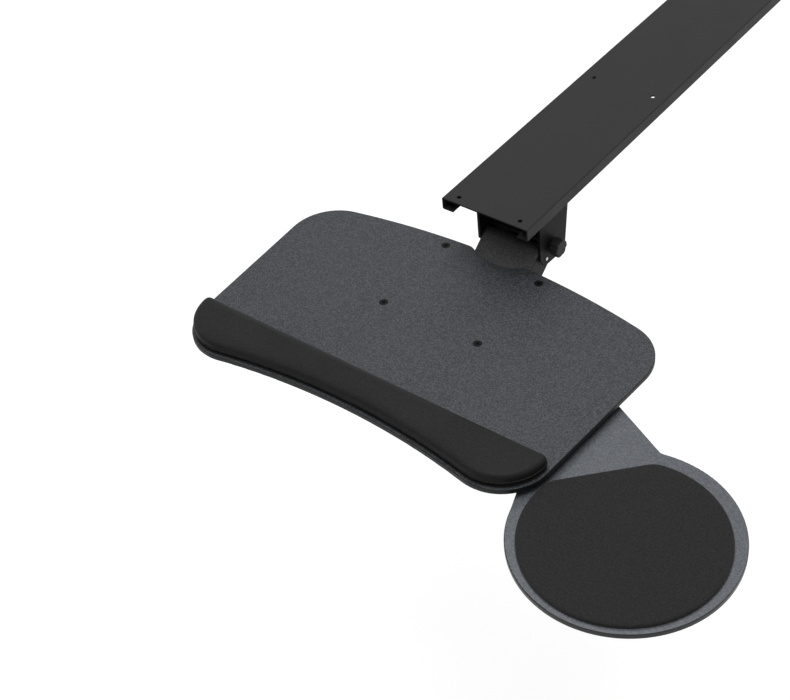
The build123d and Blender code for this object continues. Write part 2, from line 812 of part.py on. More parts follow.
# Tilt bolt, with a hexagon head on the left and the knob on the right
with BuildPart() as tilt_bolt:
    with BuildSketch(Plane.YZ.offset(-lug_outer - face_gap)):
        with Locations((tilt_y, tilt_z)):
            Circle(pin_radius)
    extrude(amount=2 * lug_outer + face_gap + tilt_knob_length * knob_bore_share)
    with BuildSketch(Plane.YZ.offset(-lug_outer - face_gap)):
        with Locations((tilt_y, tilt_z)):
            RegularPolygon(pin_head_radius + pin_head_height, 6)
    extrude(amount=-clamp_head_height)
tilt_bolt.part.label = "tilt_bolt"
export_step(tilt_bolt.part, "parts/tilt_bolt.step")

fluted_knob(
    "tilt_knob",
    Plane(origin=(lug_outer + face_gap, tilt_y, tilt_z), z_dir=(1, 0, 0)),
    tilt_knob_radius,
    tilt_knob_length,
    tilt_knob_collar,
    tilt_knob_collar_radius,
    pin_radius,
)

# Mounting plate: screwed under the board, with two lugs for the tilt bolt
plate_rear_y = screw_rear_y + plate_margin
plate_front_y = screw_rear_y - screw_row_spacing - plate_margin
with BuildPart() as mount_plate:
    with BuildSketch(Plane.XY.offset(board_under)) as plan:
        with Locations((0, (plate_rear_y + plate_front_y) / 2)):
            Rectangle(2 * plate_half_width, plate_rear_y - plate_front_y)
        fillet(plan.vertices(), plate_corner)
        with Locations((0, tilt_y + plate_gap_front)):
            Rectangle(
                2 * plate_gap_half_width,
                plate_rear_y - tilt_y,
                align=(Align.CENTER, Align.MIN),
                mode=Mode.SUBTRACT,
            )
        inner_corners = [
            corner for corner in plan.vertices()
            if abs(corner.Y - tilt_y - plate_gap_front) < shaft_gap
        ]
        fillet(inner_corners, plate_gap_corner)
        with Locations((0, screw_mid_y)):
            with GridLocations(screw_spacing, screw_row_spacing, 2, 2):
                Circle(screw_radius + 2 * shaft_gap, mode=Mode.SUBTRACT)
    extrude(amount=-plate_sheet)
    with BuildSketch(Plane.YZ.offset(lug_inner)):
        with Locations((tilt_y, tilt_z)):
            Circle(lug_radius)
        with Locations((tilt_y, plate_under + plate_sheet / 2)):
            Rectangle(2 * lug_root_half, plate_sheet)
        make_hull()
    extrude(amount=plate_sheet)
    mirror(about=Plane.YZ)
    with BuildSketch(Plane.YZ):
        with Locations((tilt_y, tilt_z)):
            Circle(pin_radius + shaft_gap)
    extrude(amount=lug_outer + overrun, both=True, mode=Mode.SUBTRACT)
mount_plate.part.label = "mount_plate"
export_step(mount_plate.part, "parts/mount_plate.step")

# Side platform's pivot place, wanted by the board's blind screw holes
stud_screw_places = [
    polar(mouse_pivot_x, mouse_pivot_y, stud_screw_circle, mouse_direction + 360.0 * n / stud_screw_count)
    for n in range(stud_screw_count)
]


def board_outline(inset):
    """The board's plan, drawn in from its edge by an inset; the notch is left to the board."""
    with BuildSketch() as outline:
        with BuildLine():
            rear_edge = ThreePointArc(
                (-board_rear_half_width, board_rear_y - board_rear_bow),
                (0, board_rear_y),
                (board_rear_half_width, board_rear_y - board_rear_bow),
            )
            front_edge = ThreePointArc(
                (board_front_half_width, board_front_y - board_front_bow),
                (0, board_front_y),
                (-board_front_half_width, board_front_y - board_front_bow),
            )
            Line(rear_edge @ 1, front_edge @ 0)
            Line(front_edge @ 1, rear_edge @ 0)
        make_face()
        fillet(outline.vertices().group_by(Axis.Y)[-1], board_rear_corner)
        fillet(outline.vertices().group_by(Axis.Y)[0], board_front_corner)
        if inset:
            offset(amount=-inset, mode=Mode.REPLACE)
    return outline.sketch


# Board: a thin composite panel, bowed behind, hollowed in front, with a notch
board_plan = board_outline(0)
with BuildPart() as board:
    with BuildSketch(Plane.XY.offset(board_under)) as plan:
        add(board_plan)
        with Locations((0, board_rear_y - notch_depth + notch_radius)):
            Circle(notch_radius, mode=Mode.SUBTRACT)
        notch_ends = [
            corner for corner in plan.vertices()
            if abs(corner.X) < notch_radius and corner.Y > screw_rear_y
        ]
        fillet(notch_ends, notch_corner)
    extrude(amount=board_thickness)
    rims = board.faces().filter_by(Axis.Z)
    fillet([edge for rim in rims for edge in rim.outer_wire().edges()], board_edge_round)
    with Locations((0, screw_mid_y, -board_drop)):
        with GridLocations(screw_spacing, screw_row_spacing, 2, 2):
            CounterSinkHole(screw_radius + 2 * shaft_gap, screw_head_radius + 2 * shaft_gap)
    with BuildSketch(Plane.XY.offset(board_under)):
        with Locations(*stud_screw_places):
            Circle(stud_screw_radius + shaft_gap)
    extrude(amount=stud_screw_depth + shaft_gap, mode=Mode.SUBTRACT)
board.part.label = "board"
export_step(board.part, "parts/board.step")

# Board screws: flat heads flush with the top, each with a cross recess
screw_places = [
    (side * screw_spacing / 2, screw_mid_y + end * screw_row_spacing / 2)
    for side in (-1, 1)
    for end in (-1, 1)
]
head_depth = screw_head_radius - screw_radius
with BuildPart() as board_screws:
    for x, y in screw_places:
        with BuildSketch(Plane(origin=(x, y, -board_drop), x_dir=(1, 0, 0), z_dir=(0, -1, 0))):
            with BuildLine():
                Polyline(
                    (0, 0),
                    (screw_head_radius, 0),
                    (screw_radius, -head_depth),
                    (screw_radius, -screw_reach),
                    (0, -screw_reach),
                    close=True,
                )
            make_face()
        revolve(axis=Axis((x, y, 0), (0, 0, 1)))
    with BuildSketch(Plane.XY.offset(-board_drop)):
        with Locations(*screw_places):
            Rectangle(recess_length, recess_width)
            Rectangle(recess_width, recess_length)
    extrude(amount=-recess_depth, mode=Mode.SUBTRACT)
board_screws.part.label = "board_screws"
export_step(board_screws.part, "parts/board_screws.step")

with BuildPart() as board_nuts:
    with BuildSketch(Plane.XY.offset(plate_under)):
        with Locations(*screw_places):
            RegularPolygon(nut_radius, 6)
            Circle(screw_radius + shaft_gap, mode=Mode.SUBTRACT)
    extrude(amount=-nut_height)
board_nuts.part.label = "board_nuts"
export_step(board_nuts.part, "parts/board_nuts.step")


def rest_outline(plan, rear_line):
    """The front end of a plan, cut straight behind and rounded at the corners."""
    with BuildSketch() as outline:
        add(plan)
        with Locations((0, rear_line)):
            Rectangle(
                4 * board_rear_half_width,
                board_depth,
                align=(Align.CENTER, Align.MIN),
                mode=Mode.SUBTRACT,
            )
        offset(amount=-rest_corner, mode=Mode.REPLACE)
        offset(amount=rest_corner, mode=Mode.REPLACE)
    return outline.sketch


# Palm rest: a thin stiff base under a soft covered cushion
rest_rear_y = board_front_y + rest_inset + rest_depth
rest_plan = rest_outline(board_outline(rest_inset), rest_rear_y)
base_plan = rest_outline(
    board_outline(rest_inset + rest_base_inset), rest_rear_y - rest_base_inset
)
with BuildPart() as palm_rest_base:
    with BuildSketch(Plane.XY.offset(-board_drop)):
        add(base_plan)
    extrude(amount=rest_base_thickness)
palm_rest_base.part.label = "palm_rest_base"
export_step(palm_rest_base.part, "parts/palm_rest_base.step")

with BuildPart() as palm_rest:
    with BuildSketch(Plane.XY.offset(rest_base_thickness - board_drop)):
        add(rest_plan)
    extrude(amount=rest_thickness)
    fillet(palm_rest.faces().sort_by(Axis.Z)[-1].edges(), rest_top_round)
    fillet(palm_rest.faces().sort_by(Axis.Z)[0].edges(), rest_low_round)
palm_rest.part.label = "palm_rest"
export_step(palm_rest.part, "parts/palm_rest.step")

# Side platform: a disc on a neck that reaches back under the board to its pivot
with BuildPart() as mouse_platform:
    with BuildSketch(Plane.XY.offset(mouse_under)) as plan:
        with BuildLine():
            Polyline(
                polar(mouse_pivot_x, mouse_pivot_y, neck_radius, neck_right_normal),
                polar(mouse_x, mouse_y, mouse_radius, neck_right_joint),
                (mouse_x, mouse_y),
                polar(mouse_x, mouse_y, mouse_radius, neck_left_joint),
                polar(mouse_pivot_x, mouse_pivot_y, neck_radius, neck_left_normal),
                (mouse_pivot_x, mouse_pivot_y),
                close=True,
            )
        make_face()
        with Locations((mouse_x, mouse_y)):
            Circle(mouse_radius)
        with Locations((mouse_pivot_x, mouse_pivot_y)):
            Circle(neck_radius)
        elbow = polar(mouse_x, mouse_y, mouse_radius, neck_right_joint)
        elbows = [
            corner for corner in plan.vertices()
            if math.dist((corner.X, corner.Y), elbow) < shaft_gap
        ]
        fillet(elbows, neck_fillet)
        with Locations((mouse_pivot_x, mouse_pivot_y)):
            Circle(stud_radius + shaft_gap, mode=Mode.SUBTRACT)
    extrude(amount=mouse_thickness)
    rims = mouse_platform.faces().filter_by(Axis.Z)
    fillet([edge for rim in rims for edge in rim.outer_wire().edges()], board_edge_round)
mouse_platform.part.label = "mouse_platform"
export_step(mouse_platform.part, "parts/mouse_platform.step")

# Platform's pad: cloth on foam, cut straight on the neck's side
pad_x = mouse_x + pad_shift_x
pad_y = mouse_y + pad_shift_y
with BuildPart() as mouse_pad:
    with BuildSketch(Plane.XY.offset(mouse_top)) as plan:
        with Locations((pad_x, pad_y)):
            Circle(pad_radius)
        with Locations(Location((mouse_x, mouse_y), mouse_direction)):
            with Locations((-pad_chord, 0)):
                Rectangle(
                    pad_radius,
                    4 * pad_radius,
                    align=(Align.MAX, Align.CENTER),
                    mode=Mode.SUBTRACT,
                )
        chord_ends = [
            corner for corner in plan.vertices()
            if (corner.X - mouse_x) * math.cos(mouse_angle)
            + (corner.Y - mouse_y) * math.sin(mouse_angle) < 0
        ]
        fillet(chord_ends, pad_corner)
    extrude(amount=pad_thickness)
    fillet(mouse_pad.faces().sort_by(Axis.Z)[-1].edges(), pad_round)
mouse_pad.part.label = "mouse_pad"
export_step(mouse_pad.part, "parts/mouse_pad.step")

# Side platform's pivot: a flanged stud under the board, a spacer, a washer and a knob
stud_tail = mouse_under - face_gap - mouse_washer - mouse_knob_height * knob_bore_share
with BuildPart() as mouse_stud:
    with BuildSketch(Plane.XY.offset(board_under)):
        with Locations((mouse_pivot_x, mouse_pivot_y)):
            Circle(stud_plate_radius)
        with Locations(*stud_screw_places):
            Circle(stud_screw_radius + shaft_gap, mode=Mode.SUBTRACT)
    extrude(amount=-stud_plate_sheet)
    with BuildSketch(Plane.XY.offset(board_under - stud_plate_sheet)):
        with Locations((mouse_pivot_x, mouse_pivot_y)):
            Circle(stud_radius)
    extrude(amount=stud_tail - board_under + stud_plate_sheet)
mouse_stud.part.label = "mouse_stud"
export_step(mouse_stud.part, "parts/mouse_stud.step")

with BuildPart() as stud_screws:
    for x, y in stud_screw_places:
        with BuildSketch(Plane.XY.offset(board_under + stud_screw_depth)):
            with Locations((x, y)):
                Circle(stud_screw_radius)
        extrude(amount=-stud_screw_depth - stud_plate_sheet)
        with BuildSketch(Plane.XY.offset(board_under - stud_plate_sheet)):
            with Locations((x, y)):
                Circle(stud_screw_head_radius)
        extrude(amount=-stud_screw_head_height)
stud_screws.part.label = "stud_screws"
export_step(stud_screws.part, "parts/stud_screws.step")

with BuildPart() as mouse_spacer:
    with BuildSketch(Plane.XY.offset(mouse_top + face_gap)):
        with Locations((mouse_pivot_x, mouse_pivot_y)):
            Circle(spacer_radius)
            Circle(stud_radius + shaft_gap, mode=Mode.SUBTRACT)
    extrude(amount=mouse_drop - stud_plate_sheet - face_gap)
mouse_spacer.part.label = "mouse_spacer"
export_step(mouse_spacer.part, "parts/mouse_spacer.step")

with BuildPart() as mouse_washer_ring:
    with BuildSketch(Plane.XY.offset(mouse_under - face_gap)):
        with Locations((mouse_pivot_x, mouse_pivot_y)):
            Circle(mouse_washer_radius)
            Circle(stud_radius + shaft_gap, mode=Mode.SUBTRACT)
    extrude(amount=-mouse_washer)
mouse_washer_ring.part.label = "mouse_washer"
export_step(mouse_washer_ring.part, "parts/mouse_washer.step")

fluted_knob(
    "mouse_knob",
    Plane(
        origin=(mouse_pivot_x, mouse_pivot_y, mouse_under - 2 * face_gap - mouse_washer),
        z_dir=(0, 0, -1),
    ),
    mouse_knob_radius,
    mouse_knob_height,
    mouse_knob_collar,
    mouse_knob_collar_radius,
    stud_radius,
)
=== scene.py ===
import math

import bmesh
import bpy
from mathutils import Matrix, Vector


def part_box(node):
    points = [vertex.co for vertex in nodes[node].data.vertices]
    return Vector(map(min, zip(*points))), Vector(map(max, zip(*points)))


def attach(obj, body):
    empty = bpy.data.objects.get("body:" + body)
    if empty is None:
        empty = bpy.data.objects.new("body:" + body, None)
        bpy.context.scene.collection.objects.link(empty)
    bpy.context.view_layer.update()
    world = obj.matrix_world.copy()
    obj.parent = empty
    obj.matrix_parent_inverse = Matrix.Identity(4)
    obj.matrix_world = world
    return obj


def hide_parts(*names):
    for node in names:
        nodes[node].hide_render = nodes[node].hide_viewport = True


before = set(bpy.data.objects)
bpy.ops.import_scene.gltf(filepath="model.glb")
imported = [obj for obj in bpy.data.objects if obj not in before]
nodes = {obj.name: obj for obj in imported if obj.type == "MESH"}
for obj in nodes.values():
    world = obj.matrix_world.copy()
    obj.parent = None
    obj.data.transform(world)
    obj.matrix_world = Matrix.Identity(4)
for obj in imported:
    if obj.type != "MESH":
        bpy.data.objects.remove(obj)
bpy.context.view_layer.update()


# The track and its end stops are folded steel sheet, powder coated black.
# The coat has a fine, even grain and picks up a faint haze where dust settles.
def shader_group(name, inputs, outputs):
    """A new shader group with its sockets, and the nodes at its two ends."""
    group = bpy.data.node_groups.new(name, "ShaderNodeTree")
    for label, kind, value in inputs:
        socket = group.interface.new_socket(label, in_out="INPUT", socket_type=kind)
        if value is not None:
            socket.default_value = value
    for label, kind in outputs:
        group.interface.new_socket(label, in_out="OUTPUT", socket_type=kind)
    return group, group.nodes.new("NodeGroupInput"), group.nodes.new("NodeGroupOutput")


grain, grain_in, grain_out = shader_group(
    "fine grain",
    [("Vector", "NodeSocketVector", None), ("Grains per metre", "NodeSocketFloat", 1500.0),
     ("Haze per metre", "NodeSocketFloat", 14.0)],
    [("Height", "NodeSocketFloat"), ("Speckle", "NodeSocketFloat"), ("Haze", "NodeSocketFloat")],
)
small = grain.nodes.new("ShaderNodeTexNoise")
small.inputs["Detail"].default_value = 2.0
wide = grain.nodes.new("ShaderNodeTexNoise")
wide.inputs["Detail"].default_value = 4.0
flecks = grain.nodes.new("ShaderNodeMapRange")
flecks.inputs["From Min"].default_value = 0.42
flecks.inputs["From Max"].default_value = 0.62
cloud = grain.nodes.new("ShaderNodeMapRange")
cloud.inputs["From Min"].default_value = 0.3
cloud.inputs["From Max"].default_value = 0.7
for tex, socket in ((small, "Grains per metre"), (wide, "Haze per metre")):
    grain.links.new(grain_in.outputs["Vector"], tex.inputs["Vector"])
    grain.links.new(grain_in.outputs[socket], tex.inputs["Scale"])
grain.links.new(small.outputs["Fac"], flecks.inputs["Value"])
grain.links.new(wide.outputs["Fac"], cloud.inputs["Value"])
grain.links.new(small.outputs["Fac"], grain_out.inputs["Height"])
grain.links.new(flecks.outputs["Result"], grain_out.inputs["Speckle"])
grain.links.new(cloud.outputs["Result"], grain_out.inputs["Haze"])


def grained(name, dark, light, roughness, depth, grains=1500.0, haze=14.0,
            metallic=0.0, haze_share=0.35, shine=0.2):
    """A finish whose grain mixes two colours, and whose haze shifts its roughness."""
    material = bpy.data.materials.new(name)
    material.use_nodes = True
    tree = material.node_tree
    shader = tree.nodes["Principled BSDF"]
    shader.inputs["Metallic"].default_value = metallic
    shader.inputs["Specular IOR Level"].default_value = shine
    place = tree.nodes.new("ShaderNodeTexCoord")
    coat = tree.nodes.new("ShaderNodeGroup")
    coat.node_tree = grain
    coat.inputs["Grains per metre"].default_value = grains
    coat.inputs["Haze per metre"].default_value = haze
    tree.links.new(place.outputs["Object"], coat.inputs["Vector"])
    tone = tree.nodes.new("ShaderNodeMix")
    tone.data_type = "RGBA"
    tone.inputs["A"].default_value = (*dark, 1)
    tone.inputs["B"].default_value = (*light, 1)
    share = tree.nodes.new("ShaderNodeMix")
    share.inputs["Factor"].default_value = haze_share
    tree.links.new(coat.outputs["Speckle"], share.inputs["A"])
    tree.links.new(coat.outputs["Haze"], share.inputs["B"])
    tree.links.new(share.outputs["Result"], tone.inputs["Factor"])
    tree.links.new(tone.outputs["Result"], shader.inputs["Base Color"])
    roughness_swing = 0.06
    gloss = tree.nodes.new("ShaderNodeMapRange")
    gloss.inputs["To Min"].default_value = roughness - roughness_swing
    gloss.inputs["To Max"].default_value = roughness + roughness_swing
    tree.links.new(coat.outputs["Haze"], gloss.inputs["Value"])
    tree.links.new(gloss.outputs["Result"], shader.inputs["Roughness"])
    bump = tree.nodes.new("ShaderNodeBump")
    bump.inputs["Distance"].default_value = depth
    tree.links.new(coat.outputs["Height"], bump.inputs["Height"])
    tree.links.new(bump.outputs["Normal"], shader.inputs["Normal"])
    return material


def node_in(material, kind):
    """The first node of a kind in a finish."""
    return next(node for node in material.node_tree.nodes if node.bl_idname == kind)


def colour_mix_in(material):
    """The node that mixes a finish's two colours."""
    mixes = [node for node in material.node_tree.nodes if node.bl_idname == "ShaderNodeMix"]
    return next(node for node in mixes if node.data_type == "RGBA")


def dress(material, *names):
    """Puts a finish on CAD nodes."""
    for name in names:
        for slot in nodes[name].material_slots:
            slot.material = material


track_coat = grained("track powder coat", (0.01, 0.01, 0.011), (0.02, 0.02, 0.021), 0.5, 0.00012, 1200.0)
dress(track_coat, "track", "front_stop", "rear_stop")

# The bumpers on the stops are moulded black rubber, pressed on and a little dusty.
bumper_rubber = grained("bumper rubber", (0.012, 0.012, 0.012), (0.026, 0.025, 0.024), 0.75, 0.0001,
                        700.0, 60.0)
dress(bumper_rubber, "stop_bumpers")

# The bolts, pins, nuts and metal washers are zinc-plated steel, a little cloudy.
# Drawing the bar leaves faint streaks in the plating along one direction.
zinc = grained("zinc plating", (0.45, 0.46, 0.47), (0.66, 0.67, 0.68), 0.34, 0.00003,
               260.0, 30.0, metallic=1.0, haze_share=0.7, shine=0.5)
streaks = zinc.node_tree.nodes.new("ShaderNodeMapping")
streaks.inputs["Scale"].default_value = (1.0, 0.08, 1.0)
zinc_place = node_in(zinc, "ShaderNodeTexCoord")
zinc_coat = node_in(zinc, "ShaderNodeGroup")
zinc.node_tree.links.new(zinc_place.outputs["Object"], streaks.inputs["Vector"])
zinc.node_tree.links.new(streaks.outputs["Vector"], zinc_coat.inputs["Vector"])
dress(zinc, "swivel_bolt", "swivel_washer", "swivel_nut", "rear_upper_pin",
      "rear_lower_pin", "front_upper_pin", "front_lower_pin", "tilt_bolt",
      "board_nuts", "mouse_stud")

# The four glides and every thin washer are moulded nylon, left its natural milky colour.
# They slide on steel, so their skin is waxy and very slightly mottled.
nylon = grained("natural nylon", (0.5, 0.49, 0.44), (0.6, 0.59, 0.54), 0.42, 0.00004, 500.0, 40.0)
nylon_shader = nylon.node_tree.nodes["Principled BSDF"]
nylon_shader.inputs["Subsurface Weight"].default_value = 0.1
nylon_shader.inputs["Subsurface Radius"].default_value = (0.002, 0.002, 0.0015)
dress(nylon, "glide_front_left", "glide_front_right", "glide_rear_left", "glide_rear_right",
      "swivel_thrust_washer", "rear_pivot_washers", "front_pivot_spacers",
      "lower_pivot_spacers", "tilt_washers", "mouse_spacer", "mouse_washer")

# The carriage plate, the bracket, the lower link, the head and the mounting plate are
# steel sheet with a duller, deeper black coat that shows a coarser orange peel.
arm_coat = grained("bracket powder coat", (0.008, 0.008, 0.008), (0.016, 0.016, 0.016), 0.5, 0.0002,
                   900.0, shine=0.08)
dress(arm_coat, "carriage_plate", "swivel_bracket", "lower_link", "head_bracket", "mount_plate")

# The upper link's pressed cover is the one piece of the arm in plain sight. Its back is a very dark grey
# coat with a coarse sand texture, painted lighter than that grey as painted light for the shade it lies in
# under the track. Its two cheeks are painted black as painted shade on the link's shaded sides.
# These two colours are the back's real dark grey raised by painted light.
cover_coat_and_painted_light = grained("cover powder coat and painted light", (0.06, 0.06, 0.06), (0.18, 0.18, 0.18), 0.6, 0.0002, 750.0)
cheek_skin = 0.0005
cheek_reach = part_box("upper_link")[1].x - cheek_skin
cover_nodes = cover_coat_and_painted_light.node_tree.nodes
cover_links = cover_coat_and_painted_light.node_tree.links
cover_grey_and_painted_light = colour_mix_in(cover_coat_and_painted_light)
cover_split = cover_nodes.new("ShaderNodeSeparateXYZ")
cover_out = cover_nodes.new("ShaderNodeMath")
cover_out.operation = "ABSOLUTE"
cheek_shade_mask = cover_nodes.new("ShaderNodeMath")
cheek_shade_mask.operation = "GREATER_THAN"
cheek_shade_mask.inputs[1].default_value = cheek_reach
# The cheeks' black below is painted shade on the link's shaded sides.
cheek_painted_shade = cover_nodes.new("ShaderNodeMix")
cheek_painted_shade.data_type = "RGBA"
cheek_painted_shade.inputs["B"].default_value = (0.014, 0.014, 0.014, 1)
cover_place = node_in(cover_coat_and_painted_light, "ShaderNodeTexCoord")
cover_links.new(cover_place.outputs["Object"], cover_split.inputs["Vector"])
cover_links.new(cover_split.outputs["X"], cover_out.inputs[0])
cover_links.new(cover_out.outputs["Value"], cheek_shade_mask.inputs[0])
cover_links.new(cheek_shade_mask.outputs["Value"], cheek_painted_shade.inputs["Factor"])
cover_links.new(cover_grey_and_painted_light.outputs["Result"], cheek_painted_shade.inputs["A"])
cover_links.new(cheek_painted_shade.outputs["Result"], cover_nodes["Principled BSDF"].inputs["Base Color"])
dress(cover_coat_and_painted_light, "upper_link")

# The lift spring is drawn wire, oiled and blued, so it is darker than the plated parts.
spring_steel = grained("oiled spring wire", (0.16, 0.16, 0.17), (0.3, 0.3, 0.32), 0.3, 0.00003,
                       800.0, 90.0, metallic=1.0, shine=0.5)
dress(spring_steel, "lift_spring")

# The three clamp knobs are moulded in a hard black plastic with a sparked matt skin.
knob_skin = grained("knob plastic", (0.012, 0.012, 0.012), (0.024, 0.024, 0.024), 0.55, 0.0001, 1600.0, 50.0)
dress(knob_skin, "height_knob", "tilt_knob", "mouse_knob")


# The board is compact laminate: a grey textured face over a dark core that shows at its
# machined edge. The side platform is cut from a paler sheet and has a lighter edge.
def laminate(name, face_dark, face_light, core, roughness, shine):
    """A finish with one colour on level faces and the core's colour on the edges between."""
    material = grained(name, face_dark, face_light, roughness, 0.0001, 740.0, 9.0,
                       haze_share=0.1, shine=shine)
    tree = material.node_tree
    tone = colour_mix_in(material)
    surface = tree.nodes.new("ShaderNodeNewGeometry")
    split = tree.nodes.new("ShaderNodeSeparateXYZ")
    tree.links.new(surface.outputs["Normal"], split.inputs["Vector"])
    upright = tree.nodes.new("ShaderNodeMath")
    upright.operation = "ABSOLUTE"
    tree.links.new(split.outputs["Z"], upright.inputs[0])
    cut = tree.nodes.new("ShaderNodeMapRange")
    cut.inputs["From Min"].default_value = 0.8
    cut.inputs["From Max"].default_value = 0.97
    tree.links.new(upright.outputs["Value"], cut.inputs["Value"])
    layer = tree.nodes.new("ShaderNodeMix")
    layer.data_type = "RGBA"
    layer.inputs["A"].default_value = (*core, 1)
    tree.links.new(cut.outputs["Result"], layer.inputs["Factor"])
    tree.links.new(tone.outputs["Result"], layer.inputs["B"])
    tree.links.new(layer.outputs["Result"], tree.nodes["Principled BSDF"].inputs["Base Color"])
    return material


board_face = laminate("board laminate", (0.033, 0.035, 0.039), (0.089, 0.094, 0.103), (0.009, 0.01, 0.011),
                      0.44, 0.2)
dress(board_face, "board")
platform_face = laminate("platform laminate", (0.094, 0.101, 0.114), (0.156, 0.166, 0.184),
                         (0.02, 0.022, 0.024), 0.3, 0.25)
dress(platform_face, "mouse_platform")

# The board's screws, the small screws under it and the long clamp bolt are black oxide
# steel, matt and barely oiled.
black_oxide = grained("black oxide", (0.004, 0.004, 0.004), (0.01, 0.01, 0.01), 0.55, 0.00004,
                      900.0, 80.0, shine=0.1)
dress(black_oxide, "board_screws", "stud_screws", "clamp_bolt")

# A thin dark foam tape holds the palm rest to the board and reads as a black line.
foam_tape = grained("foam tape", (0.006, 0.006, 0.006), (0.014, 0.014, 0.014), 0.9, 0.0003, 900.0, 60.0)
dress(foam_tape, "palm_rest_base")


# The palm rest is a foam strip wrapped in a smooth black leatherette. The cover is drawn
# tight over the top and tucked in below, so the sides bulge a little and pull in at the base.
def welded_copy(node, name):
    """A new object with a CAD node's mesh, its loose triangles joined."""
    mesh = nodes[node].data.copy()
    mesh.materials.clear()
    work = bmesh.new()
    work.from_mesh(mesh)
    bmesh.ops.remove_doubles(work, verts=work.verts, dist=1e-6)
    work.to_mesh(mesh)
    work.free()
    piece = bpy.data.objects.new(name, mesh)
    bpy.context.scene.collection.objects.link(piece)
    return piece


def apply_modifiers(piece):
    """Turns a piece with its modifiers into a plain mesh."""
    seen = piece.evaluated_get(bpy.context.evaluated_depsgraph_get())
    mesh = bpy.data.meshes.new_from_object(seen)
    piece.modifiers.clear()
    piece.data = mesh


def remeshed(piece, voxel):
    """Gives a piece an even skin of small faces."""
    step = piece.modifiers.new("skin", "REMESH")
    step.mode = "VOXEL"
    step.voxel_size = voxel
    step.use_smooth_shade = True
    apply_modifiers(piece)


def smooth_once(work):
    """Evens out a bmesh by one pass along all three axes."""
    bmesh.ops.smooth_vert(
        work, verts=work.verts, factor=0.5, use_axis_x=True, use_axis_y=True, use_axis_z=True)


cushion_voxel = 0.0022
cushion_tuck = 0.0006
cushion_swell = 0.0011
glued_height = 0.0018
cloth_frames = 16
underside_lift = 0.0001
cushion = welded_copy("palm_rest", "palm_cushion")
remeshed(cushion, cushion_voxel)
rest_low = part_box("palm_rest")[0]
work = bmesh.new()
work.from_mesh(cushion.data)
smooth_once(work)
work.normal_update()
for vert in work.verts:
    vert.co -= vert.normal * cushion_tuck
work.to_mesh(cushion.data)
work.free()
start = [vert.co.copy() for vert in cushion.data.vertices]
held = cushion.vertex_groups.new(name="glued")
glued = [vert.index for vert in cushion.data.vertices if vert.co.z < rest_low.z + glued_height]
held.add(glued, 1.0, "REPLACE")
cloth = cushion.modifiers.new("cover", "CLOTH")
cloth.settings.quality = 4
cloth.settings.mass = 0.2
cloth.settings.tension_stiffness = 30
cloth.settings.compression_stiffness = 30
cloth.settings.vertex_group_mass = "glued"
cloth.settings.use_pressure = True
cloth.settings.uniform_pressure_force = 2.0
cloth.settings.effector_weights.gravity = 0
cloth.collision_settings.use_self_collision = False
cloth.collision_settings.use_collision = False
for step in range(1, cloth_frames + 1):
    bpy.context.scene.frame_set(step)
apply_modifiers(cushion)
for vert, before in zip(cushion.data.vertices, start):
    moved = vert.co - before
    if moved.length > cushion_swell:
        vert.co = before + moved * (cushion_swell / moved.length)
bpy.context.scene.frame_set(1)
for vert in cushion.data.vertices:
    vert.co.z = max(vert.co.z, rest_low.z + underside_lift)
finer = cushion.modifiers.new("finer", "SUBSURF")
finer.levels = finer.render_levels = 1
apply_modifiers(cushion)
for face in cushion.data.polygons:
    face.use_smooth = True

leatherette = grained("black leatherette", (0.019, 0.019, 0.019), (0.03, 0.03, 0.03), 0.42, 0.00008,
                      650.0, 22.0, shine=0.05)
leather_nodes = leatherette.node_tree.nodes
leather_links = leatherette.node_tree.links
leather_place = node_in(leatherette, "ShaderNodeTexCoord")
leather_bump = node_in(leatherette, "ShaderNodeBump")
creases = leather_nodes.new("ShaderNodeTexVoronoi")
creases.feature = "DISTANCE_TO_EDGE"
creases.inputs["Scale"].default_value = 900.0
pebbles = leather_nodes.new("ShaderNodeBump")
pebbles.inputs["Distance"].default_value = 0.0001
pebbles.inputs["Strength"].default_value = 0.5
leather_links.new(leather_place.outputs["Object"], creases.inputs["Vector"])
leather_links.new(creases.outputs["Distance"], pebbles.inputs["Height"])
leather_links.new(pebbles.outputs["Normal"], leather_bump.inputs["Normal"])
cushion.data.materials.append(leatherette)
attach(cushion, "tray")
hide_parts("palm_rest")

# A welded seam runs round the palm rest low on its side, where the top cover meets the
# strip that is tucked under. It stands out as a fine rib that follows the outline.
seam_height = 0.0044
seam_radius = 0.0008
seam_step = 0.002
seam_sides = 8
same_place = 1e-9
work = bmesh.new()
work.from_mesh(cushion.data)
cut = bmesh.ops.bisect_plane(
    work, geom=work.verts[:] + work.edges[:] + work.faces[:],
    plane_co=(0, 0, rest_low.z + seam_height), plane_no=(0, 0, 1),
)
ring_edges = [g for g in cut["geom_cut"] if isinstance(g, bmesh.types.BMEdge)]
ring_starts = {vert for edge in ring_edges for vert in edge.verts}
here = min(ring_starts, key=lambda vert: vert.co.x)
seam_points, came = [], None
while here is not None and (not seam_points or (here.co - seam_points[0]).length > same_place):
    seam_points.append(here.co.copy())
    ways = [e for e in here.link_edges if e in ring_edges and e is not came]
    came = ways[0] if ways else None
    here = came.other_vert(here) if came else None
work.free()
seam_line = bpy.data.curves.new("palm_seam_line", "CURVE")
seam_line.dimensions = "3D"
spline = seam_line.splines.new("POLY")
spline.points.add(len(seam_points) - 1)
for point, place in zip(spline.points, seam_points):
    point.co = (*place, 1)
spline.use_cyclic_u = True
seam = bpy.data.objects.new("palm_seam", seam_line)
bpy.context.scene.collection.objects.link(seam)

